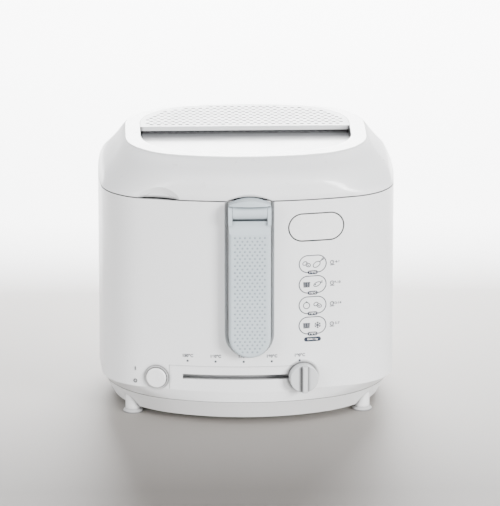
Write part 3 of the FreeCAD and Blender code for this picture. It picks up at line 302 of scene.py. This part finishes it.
def ring_points(wide, tall, count=48):
    """A stadium outline, as evenly turned points."""
    reach = (wide - tall) / 2
    points = []
    for i in range(count):
        angle = math.tau * i / count
        side = 1 if math.cos(angle) >= 0 else -1
        points.append((side * reach + tall / 2 * math.cos(angle), tall / 2 * math.sin(angle)))
    return points


def add_stroke(mesh, points, centre, z, closed=False, width=STROKE):
    """A printed line of even width along flat points."""
    count = len(points)
    left = []
    right = []
    for i in range(count):
        before = points[i - 1] if closed or i > 0 else points[i]
        after = points[(i + 1) % count] if closed or i < count - 1 else points[i]
        dx = after[0] - before[0]
        dy = after[1] - before[1]
        long = math.hypot(dx, dy) or 1.0
        nx = -dy / long * width / 2
        ny = dx / long * width / 2
        left.append((points[i][0] + nx, points[i][1] + ny))
        right.append((points[i][0] - nx, points[i][1] - ny))
    rows = [[mesh.verts.new(p) for p in wrapped(line, centre, z)] for line in (left, right)]
    for i in range(count if closed else count - 1):
        j = (i + 1) % count
        mesh.faces.new((rows[1][i], rows[1][j], rows[0][j], rows[0][i]))


def add_patch(mesh, wide, tall, centre, z, strips=16):
    """A printed stadium, filled in upright strips that follow the curved front."""
    rows = []
    for i in range(strips + 1):
        angle = math.pi * i / strips
        u = -wide / 2 * math.cos(angle)
        over = max(0.0, abs(u) - (wide - tall) / 2)
        v = math.sqrt(max(0.0, (tall / 2) ** 2 - over ** 2)) + 0.01
        rows.append([mesh.verts.new(p) for p in wrapped([(u, -v), (u, v)], centre, z)])
    for near, far in zip(rows, rows[1:]):
        mesh.faces.new((near[0], far[0], far[1], near[1]))


def add_text(mesh, text, height, centre, z, lift=PRINT_LIFT):
    """Printed figures, centred, laid on the curved front."""
    curve = bpy.data.curves.new("figures", "FONT")
    curve.body = text
    curve.size = height / CAP_SHARE
    curve.offset = LETTER_WEIGHT * height
    curve.space_character = LETTER_SPACING
    curve.align_x = "CENTER"
    curve.align_y = "CENTER"
    holder = bpy.data.objects.new("figures", curve)
    bpy.context.scene.collection.objects.link(holder)
    bpy.context.view_layer.update()
    flat = bpy.data.meshes.new_from_object(holder.evaluated_get(bpy.context.evaluated_depsgraph_get()))
    spots = [(v.co.x, v.co.y) for v in flat.vertices]
    verts = [mesh.verts.new(p) for p in wrapped(spots, centre, z, lift)]
    for polygon in flat.polygons:
        mesh.faces.new([verts[i] for i in polygon.vertices])
    bpy.data.objects.remove(holder)
    bpy.data.curves.remove(curve)
    bpy.data.meshes.remove(flat)


def print_piece(name, build, material="ink"):
    """A printed piece on the housing, its faces turned to the front."""
    mesh = bmesh.new()
    build(mesh)
    bmesh.ops.recalc_face_normals(mesh, faces=mesh.faces[:])
    data = finish_mesh(name, mesh)
    rearward = sum(p.normal.y * p.area for p in data.polygons)
    if rearward > 0:
        data.flip_normals()
    finish_piece(name, data, "housing", material)


def circle_points(radius, x=0.0, y=0.0, count=24):
    return [(x + radius * math.cos(math.tau * i / count),
             y + radius * math.sin(math.tau * i / count)) for i in range(count)]


def ellipse(wide, tall, x, y, tilt, count=24):
    points = []
    for i in range(count):
        angle = math.tau * i / count
        u = wide / 2 * math.cos(angle)
        v = tall / 2 * math.sin(angle)
        points.append((x + u * math.cos(tilt) - v * math.sin(tilt),
                       y + u * math.sin(tilt) + v * math.cos(tilt)))
    return points


def food_drumstick(mesh, x, centre, z):
    add_stroke(mesh, ellipse(8, 5, x - 1.2, -0.8, 0.6), centre, z, True)
    add_stroke(mesh, [(x + 1.8, 1.6), (x + 4.6, 4.2)], centre, z, width=1.2 * STROKE)
    add_stroke(mesh, circle_points(0.8, x + 5, 4.6), centre, z, True)


def food_nugget(mesh, x, centre, z):
    add_stroke(mesh, ellipse(4.5, 3.4, x - 1.8, 0.8, 0.5), centre, z, True)
    add_stroke(mesh, ellipse(4.8, 3.6, x + 1.6, -1.0, -0.4), centre, z, True)
    add_stroke(mesh, [(x + 0.4, -0.6), (x + 2.4, -1.6)], centre, z)


def food_fish(mesh, x, centre, z):
    add_stroke(mesh, ellipse(7.5, 3.8, x - 0.6, 0, 0.45), centre, z, True)
    add_stroke(mesh, [(x + 2.6, 1.6), (x + 4.6, 3.6), (x + 4.6, 1.2), (x + 2.6, 1.6)], centre, z)
    add_stroke(mesh, circle_points(0.3, x - 2.4, -0.4, 10), centre, z, True)


def food_fries(mesh, x, centre, z):
    half = 0.5
    for lean, shift in ((-0.5, -2.2), (-0.1, -0.8), (0.2, 0.7), (0.6, 2.2)):
        base = x + shift
        add_stroke(mesh, [(base - half, -2.8), (base + lean - half, 2.6), (base + lean + half, 2.6),
                          (base + half, -2.8)], centre, z, True)


def food_onion(mesh, x, centre, z):
    add_stroke(mesh, circle_points(3.2, x, -0.3), centre, z, True)
    add_stroke(mesh, [(x - 1, 2.7), (x, 4.0), (x + 1.1, 2.8)], centre, z)


def food_snowflake(mesh, x, centre, z):
    arm = 3.2
    fork = 1.9
    tip = 3.1
    spread_angle = 0.27
    for i in range(3):
        angle = math.pi * i / 3 + math.pi / 6
        c = math.cos(angle)
        s = math.sin(angle)
        add_stroke(mesh, [(x - arm * c, -arm * s), (x + arm * c, arm * s)], centre, z)
        for side in (-1, 1):
            for turn in (-spread_angle, spread_angle):
                end = (x + side * tip * math.cos(angle + turn), side * tip * math.sin(angle + turn))
                add_stroke(mesh, [(x + side * fork * c, side * fork * s), end], centre, z)


FOODS = [(food_nugget, food_drumstick, "160", "4-6"), (food_fries, food_fish, "170", "8-10"),
         (food_onion, food_nugget, "180", "12-14"), (food_fries, food_snowflake, "190", "5-7")]
SIGN_Z = [170.2, 148.8, 127.2, 106.0]
SIGN_CENTRE = 63.7 * MM
SIGN_WIDE = 27.6
SIGN_TALL = 17.6
SIGN_LINE = 0.85
LEFT_FOOD = -6.2
RIGHT_FOOD = 5.2
TAG_WIDE = 10.2
TAG_TALL = 3.9
TAG_TEXT = 1.9
CLOCK_OUT = 20 * MM
CLOCK_HAND = 0.4
TIME_OUT = 5.6 * MM
TIME_UP = 0.6 * MM
TIME_TEXT = 2.4
PILL_WIDE = 17.4
PILL_TALL = 4.6
PILL_TEXT = 1.7
PILL_Z = 91.5 * MM


def make_sign(number, z, left, right, heat, time):
    """A framed pair of foods with its temperature below and its time to the right."""
    tag_z = z - SIGN_TALL / 2 * MM
    clock = SIGN_CENTRE + CLOCK_OUT

    def build(mesh):
        add_stroke(mesh, ring_points(SIGN_WIDE, SIGN_TALL), SIGN_CENTRE, z, True, SIGN_LINE)
        left(mesh, LEFT_FOOD, SIGN_CENTRE, z)
        right(mesh, RIGHT_FOOD, SIGN_CENTRE, z)
        add_patch(mesh, TAG_WIDE, TAG_TALL, SIGN_CENTRE, tag_z)
        add_stroke(mesh, circle_points(1.8, 0, 0.4), clock, z, True)
        add_stroke(mesh, [(0, 1.4), (0, 0.4), (0.8, 0.4)], clock, z, width=CLOCK_HAND)
        add_text(mesh, time, TIME_TEXT, clock + TIME_OUT, z + TIME_UP)
        add_stroke(mesh, [(-2.2, -2.4), (2.4, -2.4)], clock, z)

    def build_heat(mesh):
        add_text(mesh, heat + "°C", TAG_TEXT, SIGN_CENTRE, tag_z, 2 * PRINT_LIFT)

    print_piece(f"cooking_sign_{number}", build)
    print_piece(f"cooking_sign_{number}_figures", build_heat, "ink_white")


def make_signs():
    """The cooking guide: four signs over a pill with the largest load."""
    for number, (food, height) in enumerate(zip(FOODS, SIGN_Z), 1):
        make_sign(number, height * MM, *food)

    def build_pill(mesh):
        add_patch(mesh, PILL_WIDE, PILL_TALL, SIGN_CENTRE, PILL_Z)

    def build_load(mesh):
        add_text(mesh, "MAX 1 kg", PILL_TEXT, SIGN_CENTRE, PILL_Z, 2 * PRINT_LIFT)

    print_piece("guide_pill", build_pill)
    print_piece("guide_pill_dashes", build_load, "ink_white")


SCALE_STEP = math.radians(4.465) * FRONT_RADIUS
SCALE_END = 50.6 * MM
SCALE_HEATS = (150, 160, 170, 180, 190)
SCALE_DOT = 2.1
SCALE_DOT_Z = 70.0 * MM
SCALE_TEXT = 2.9
SCALE_TEXT_Z = 75.4 * MM


def make_scale():
    """The temperature scale over the slider, its last mark at the right-hand end."""

    def build(mesh):
        for place, heat in enumerate(SCALE_HEATS, 1 - len(SCALE_HEATS)):
            across = SCALE_END + place * SCALE_STEP
            add_patch(mesh, SCALE_DOT, SCALE_DOT, across, SCALE_DOT_Z)
            add_text(mesh, f"{heat}°C", SCALE_TEXT, across, SCALE_TEXT_Z)

    print_piece("temperature_scale", build)


POWER_MARK_ACROSS = -116.5 * MM
ON_MARK_Z = 58.4 * MM
OFF_MARK_Z = 45.4 * MM


def make_power_marks():
    """The on stroke and the off ring beside the power button."""

    def build(mesh):
        add_stroke(mesh, [(0, -1.8), (0, 1.8)], POWER_MARK_ACROSS, ON_MARK_Z, width=0.6)
        add_stroke(mesh, circle_points(1.6), POWER_MARK_ACROSS, OFF_MARK_Z, True, 0.55)

    print_piece("power_marks", build)


# ------------------------------------------------------------ handle

DOT_RADIUS = 1.05 * MM
DOT_RISE = 0.35 * MM
DOT_PITCH = 4.95 * MM
DOT_ROW = 3.6 * MM
DOT_SIDES = 10
DOT_COLUMNS = 4
# a dot's rings, as shares of its radius and of its rise
DOT_PROFILE = ((1.0, 0.0), (0.8, 0.6), (0.45, 0.92))
DOTS_TOP = 203.5 * MM
DOTS_BOTTOM = 4.5 * MM
DOTS_MARGIN = 4.7 * MM
DOT_BASE = 0.02 * MM


def add_dome(mesh, x, y, z):
    """A low round grip dot that stands out towards -Y."""
    rings = []
    for share, rise in DOT_PROFILE:
        ring = []
        for i in range(DOT_SIDES):
            angle = math.tau * i / DOT_SIDES
            spot = (x + share * DOT_RADIUS * math.cos(angle), y - rise * DOT_RISE,
                    z + share * DOT_RADIUS * math.sin(angle))
            ring.append(mesh.verts.new(spot))
        rings.append(ring)
    tip = mesh.verts.new((x, y - DOT_RISE, z))
    for low, high in zip(rings, rings[1:]):
        for i in range(DOT_SIDES):
            j = (i + 1) % DOT_SIDES
            mesh.faces.new((low[i], low[j], high[j], high[i]))
    for i in range(DOT_SIDES):
        mesh.faces.new((rings[-1][i], rings[-1][(i + 1) % DOT_SIDES], tip))


def make_grip_dots():
    """Staggered rows of dots on the flat front of the handle, inside its rounded edge and lower end."""
    low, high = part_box("handle_grip")
    reach = high.x - DOTS_MARGIN
    turn_z = low.z + high.x
    mesh = bmesh.new()
    row = 0
    z = DOTS_TOP
    while z > low.z + DOTS_BOTTOM:
        shift = 0.5 * (row % 2)
        for column in range(-DOT_COLUMNS, DOT_COLUMNS + 1):
            x = (column + shift) * DOT_PITCH
            drop = max(0.0, turn_z - z)
            if math.hypot(x, drop) <= reach:
                add_dome(mesh, x, low.y + DOT_BASE, z)
        z -= DOT_ROW
        row += 1
    bmesh.ops.recalc_face_normals(mesh, faces=mesh.faces[:])
    data = finish_mesh("grip_dots", mesh, smooth=True)
    # the dots take the darker copy of the handle plastic: painted shade
    finish_piece("grip_dots", data, "handle", "handle_dots_shaded")


# ------------------------------------------------------------ wire basket

WIRE = 0.55 * MM
WIRE_SIDES = 6
UPRIGHTS = 104
HOOPS = 12
FLOOR_PITCH = 7.2 * MM
FLOOR_SHARE = 0.985
# how far crossing wires stand to either side of their middle, as shares of a wire's radius
CROSSING_IN = 1.0
CROSSING_OUT = -0.2
EDGE_BAND = 0.6 * MM
INNER_WALL = 1.0 * MM


def even_loop(points, count):
    """A closed outline's points again, evenly spaced along it."""
    lengths = [(points[(i + 1) % len(points)] - p).length for i, p in enumerate(points)]
    step = sum(lengths) / count
    even = []
    index = 0
    walked = 0.0
    for i in range(count):
        goal = i * step
        while walked + lengths[index] < goal:
            walked += lengths[index]
            index += 1
        share = (goal - walked) / lengths[index]
        even.append(points[index].lerp(points[(index + 1) % len(points)], share))
    return even


def loop_at(name, height, count):
    """Evenly spaced points around a node's outer edge at one height."""
    spots = {}
    for vertex in frame["nodes"][name].data.vertices:
        if abs(vertex.co.z - height) < EDGE_BAND:
            key = round(math.atan2(vertex.co.y, vertex.co.x), 3)
            reach = math.hypot(vertex.co.x, vertex.co.y)
            if reach > spots.get(key, (0,))[0]:
                spots[key] = (reach, vertex.co.x, vertex.co.y)
    points = [Vector((*spots[key][1:], 0)) for key in sorted(spots)]
    # a point of the inner wall lies well inside the middle of its neighbours and is left out
    outer = [p for i, p in enumerate(points)
             if p.length > (points[i - 1].length + points[(i + 1) % len(points)].length) / 2 - INNER_WALL]
    return even_loop(outer, count)


def add_wire(mesh, points, radius, closed=False):
    """A round wire along points."""
    count = len(points)
    rings = []
    for i, point in enumerate(points):
        before = points[i - 1] if closed or i > 0 else point
        after = points[(i + 1) % count] if closed or i < count - 1 else point
        along = (after - before).normalized()
        side = along.cross(Vector((0, 0, 1)))
        if side.length < 0.1:
            side = along.cross(Vector((0, 1, 0)))
        side.normalize()
        other = along.cross(side)
        ring = []
        for k in range(WIRE_SIDES):
            angle = math.tau * k / WIRE_SIDES
            ring.append(mesh.verts.new(point + radius * (math.cos(angle) * side + math.sin(angle) * other)))
        rings.append(ring)
    for i in range(count if closed else count - 1):
        first = rings[i]
        second = rings[(i + 1) % count]
        for k in range(WIRE_SIDES):
            n = (k + 1) % WIRE_SIDES
            mesh.faces.new((first[k], first[n], second[n], second[k]))
    if not closed:
        mesh.faces.new(rings[0][::-1])
        mesh.faces.new(rings[-1])


def crossings(loop, axis, place):
    """Where a closed outline crosses a line square to an axis."""
    found = []
    for a, b in zip(loop, loop[1:] + loop[:1]):
        if (a[axis] - place) * (b[axis] - place) < 0:
            found.append(a.lerp(b, (place - a[axis]) / (b[axis] - a[axis])))
    return found


def add_floor_wires(mesh, loop, base, axis, lift):
    """Parallel wires across the floor of the basket."""
    number = int(max(abs(p[axis]) for p in loop) / FLOOR_PITCH)
    for k in range(-number, number + 1):
        ends = crossings(loop, axis, k * FLOOR_PITCH)
        if len(ends) == 2:
            add_wire(mesh, [Vector((p.x * FLOOR_SHARE, p.y * FLOOR_SHARE, base + lift)) for p in ends], WIRE)


def make_wire_basket():
    """A basket of crossing wires, in the place of the solid basket."""
    low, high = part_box("frying_basket")
    top = loop_at("frying_basket", high.z, UPRIGHTS)
    bottom = loop_at("frying_basket", low.z, UPRIGHTS)
    base = low.z + WIRE

    def wall_point(i, share, crossing):
        x, y, _ = bottom[i].lerp(top[i], share)
        reach = math.hypot(x, y)
        keep = (reach - WIRE - crossing * WIRE) / reach
        return Vector((x * keep, y * keep, base + share * (high.z - base)))

    mesh = bmesh.new()
    for hoop in range(HOOPS):
        points = [wall_point(i, hoop / (HOOPS - 1), CROSSING_IN) for i in range(UPRIGHTS)]
        add_wire(mesh, points, WIRE, closed=True)
    for i in range(UPRIGHTS):
        add_wire(mesh, [wall_point(i, share, CROSSING_OUT) for share in (0.0, 0.5, 1.0)], WIRE)
    add_floor_wires(mesh, bottom, base, 0, CROSSING_OUT * WIRE)
    add_floor_wires(mesh, bottom, base, 1, CROSSING_IN * WIRE)
    data = finish_mesh("wire_basket", mesh, smooth=True)
    piece = finish_piece("wire_basket", data, "basket", "chrome")
    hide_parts("frying_basket")


# ------------------------------------------------------------ coil springs of the two keys

SPRING_WIRE = 0.4 * MM
SPRING_PITCH = 1.9 * MM
SPRING_ENDS = 2.4 * SPRING_WIRE
COIL_STEPS = 20


def make_coil(name, cad_spring, joint):
    """A coil spring in its tube's place."""
    press = next(j for j in frame["joints"] if j["name"] == joint)
    inward = Vector(press["axis"])
    across = Vector((inward.y, -inward.x, 0))
    up = Vector((0, 0, 1))
    low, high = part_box(cad_spring)
    outer = (high.z - low.z) / 2
    long = (high.y - low.y - 2 * outer * abs(inward.x)) / inward.y
    middle = (low + high) / 2
    reach = outer - SPRING_WIRE
    turns = long / SPRING_PITCH
    count = int(turns * COIL_STEPS)
    points = []
    for i in range(count + 1):
        angle = math.tau * turns * i / count
        step = (long - SPRING_ENDS) * (i / count - 0.5)
        points.append(middle + step * inward + reach * (math.cos(angle) * across + math.sin(angle) * up))
    mesh = bmesh.new()
    add_wire(mesh, points, SPRING_WIRE)
    data = finish_mesh(name, mesh, smooth=True)
    piece = finish_piece(name, data, "housing", "pin")
    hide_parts(cad_spring)
    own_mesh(piece)


def make_coils():
    make_coil("power_coil", "power_spring", "power_press")
    make_coil("release_coil_left", "release_spring_left", "release_press")
    make_coil("release_coil_right", "release_spring_right", "release_press")


# ------------------------------------------------------------ stage, light and camera

FLOOR_REACH = 6.0
FLOOR_ROUGHNESS = 0.6
# the floor's colours along Y, darker towards the front as painted shade, placed as shares of the stretch
# from SHADE_FROM to SHADE_TO
SHADE_FROM = -0.5
SHADE_TO = 0.5
FLOOR_SHADE_COLOURS = ((0.18, (0.13, 0.117, 0.105)), (0.82, (0.56, 0.535, 0.505)), (1.0, (0.9, 0.9, 0.9)))
GLOW_FROM = 0.34
GLOW_TO = 0.62
GLOW = 3.0


def colour_ramp(tree, source, stops):
    """Colours along a 0 to 1 source, each at its own place."""
    ramp = tree.nodes.new("ShaderNodeValToRGB")
    elements = ramp.color_ramp.elements
    elements[0].position = stops[0][0]
    elements[1].position = stops[-1][0]
    elements[0].color = (*stops[0][1], 1)
    elements[1].color = (*stops[-1][1], 1)
    for position, colour in stops[1:-1]:
        elements.new(position).color = (*colour, 1)
    tree.links.new(source, ramp.inputs["Fac"])
    return ramp.outputs["Color"]


def map_range(tree, source, low, high, top=1.0):
    """Map a source from low to high onto 0 to top."""
    node = tree.nodes.new("ShaderNodeMapRange")
    node.inputs["From Min"].default_value = low
    node.inputs["From Max"].default_value = high
    node.inputs["To Max"].default_value = top
    tree.links.new(source, node.inputs["Value"])
    return node.outputs["Result"]


def split_place(tree, kind):
    """The x, y and z of a texture coordinate."""
    place = tree.nodes.new("ShaderNodeTexCoord")
    split = tree.nodes.new("ShaderNodeSeparateXYZ")
    tree.links.new(place.outputs[kind], split.inputs["Vector"])
    return split.outputs


def make_stage():
    """A pale floor with painted shade, darker towards the front, and a painted glow far behind the object.
    """
    mesh = bmesh.new()
    for x, y in ((-1, -1), (1, -1), (1, 1), (-1, 1)):
        mesh.verts.new((x * FLOOR_REACH, y * FLOOR_REACH, 0))
    mesh.faces.new(mesh.verts[:])
    data = finish_mesh("floor", mesh)
    floor = bpy.data.objects.new("floor", data)
    bpy.context.scene.collection.objects.link(floor)
    material, tree, shader = new_material("pale_floor_painted_shade_and_glow")
    depth = split_place(tree, "Object")["Y"]
    # painted shade: the floor's colour darkens towards the front
    colour = colour_ramp(tree, map_range(tree, depth, SHADE_FROM, SHADE_TO), FLOOR_SHADE_COLOURS)
    tree.links.new(colour, shader.inputs["Base Color"])
    shader.inputs["Roughness"].default_value = FLOOR_ROUGHNESS
    shader.inputs["Emission Color"].default_value = (1, 1, 1, 1)
    # painted glow: the floor gives off light far behind the object
    glow = map_range(tree, depth, GLOW_FROM, GLOW_TO, GLOW)
    tree.links.new(glow, shader.inputs["Emission Strength"])
    data.materials.append(material)


LIGHT_TARGET = Vector((0, 0, 0.14))
# name, place, width of the square light, power
LIGHTS = (("key", (1.9, -2.2, 0.9), 0.9, 165),
          ("fill", (-1.7, -1.9, 0.7), 1.2, 42),
          ("back", (0.2, 1.9, 1.1), 1.4, 150))
SKY_COLOURS = ((0.0, (1, 1, 1)), (0.7, (0.45, 0.45, 0.46)))
SKY_STRENGTH = 2.1


def area_light(name, place, size, power):
    light = bpy.data.lights.new(name, "AREA")
    light.energy = power
    light.size = size
    holder = bpy.data.objects.new(name, light)
    holder.location = place
    holder.rotation_euler = (LIGHT_TARGET - Vector(place)).to_track_quat("-Z", "Y").to_euler()
    bpy.context.scene.collection.objects.link(holder)


def make_light():
    """A sky that is white at the horizon and grey above, and three soft lights."""
    world = bpy.data.worlds.new("studio")
    bpy.context.scene.world = world
    world.use_nodes = True
    tree = world.node_tree
    background = tree.nodes["Background"]
    height = split_place(tree, "Generated")["Z"]
    tree.links.new(colour_ramp(tree, height, SKY_COLOURS), background.inputs["Color"])
    background.inputs["Strength"].default_value = SKY_STRENGTH
    for light in LIGHTS:
        area_light(*light)


CAMERA_RISE = math.radians(16.5)
CAMERA_TURN = math.radians(-1.85)
CAMERA_DISTANCE = 5.216
CAMERA_TARGET = Vector((4.7 * MM, 0, 145.2 * MM))
CAMERA_LENS = 362.8
SENSOR_WIDTH = 36
CLIP_END = 50


def make_camera():
    data = bpy.data.cameras.new("camera")
    data.lens = CAMERA_LENS
    data.sensor_width = SENSOR_WIDTH
    data.clip_end = CLIP_END
    camera = bpy.data.objects.new("camera", data)
    back = Vector((math.sin(CAMERA_TURN) * math.cos(CAMERA_RISE),
                   -math.cos(CAMERA_TURN) * math.cos(CAMERA_RISE), math.sin(CAMERA_RISE)))
    camera.location = CAMERA_TARGET + CAMERA_DISTANCE * back
    camera.rotation_euler = (-back).to_track_quat("-Z", "Y").to_euler()
    bpy.context.scene.collection.objects.link(camera)
    bpy.context.scene.camera = camera


make_camera()
make_light()
make_stage()
dress_nodes()
make_signs()
make_scale()
make_power_marks()
make_grip_dots()
make_wire_basket()
make_coils()
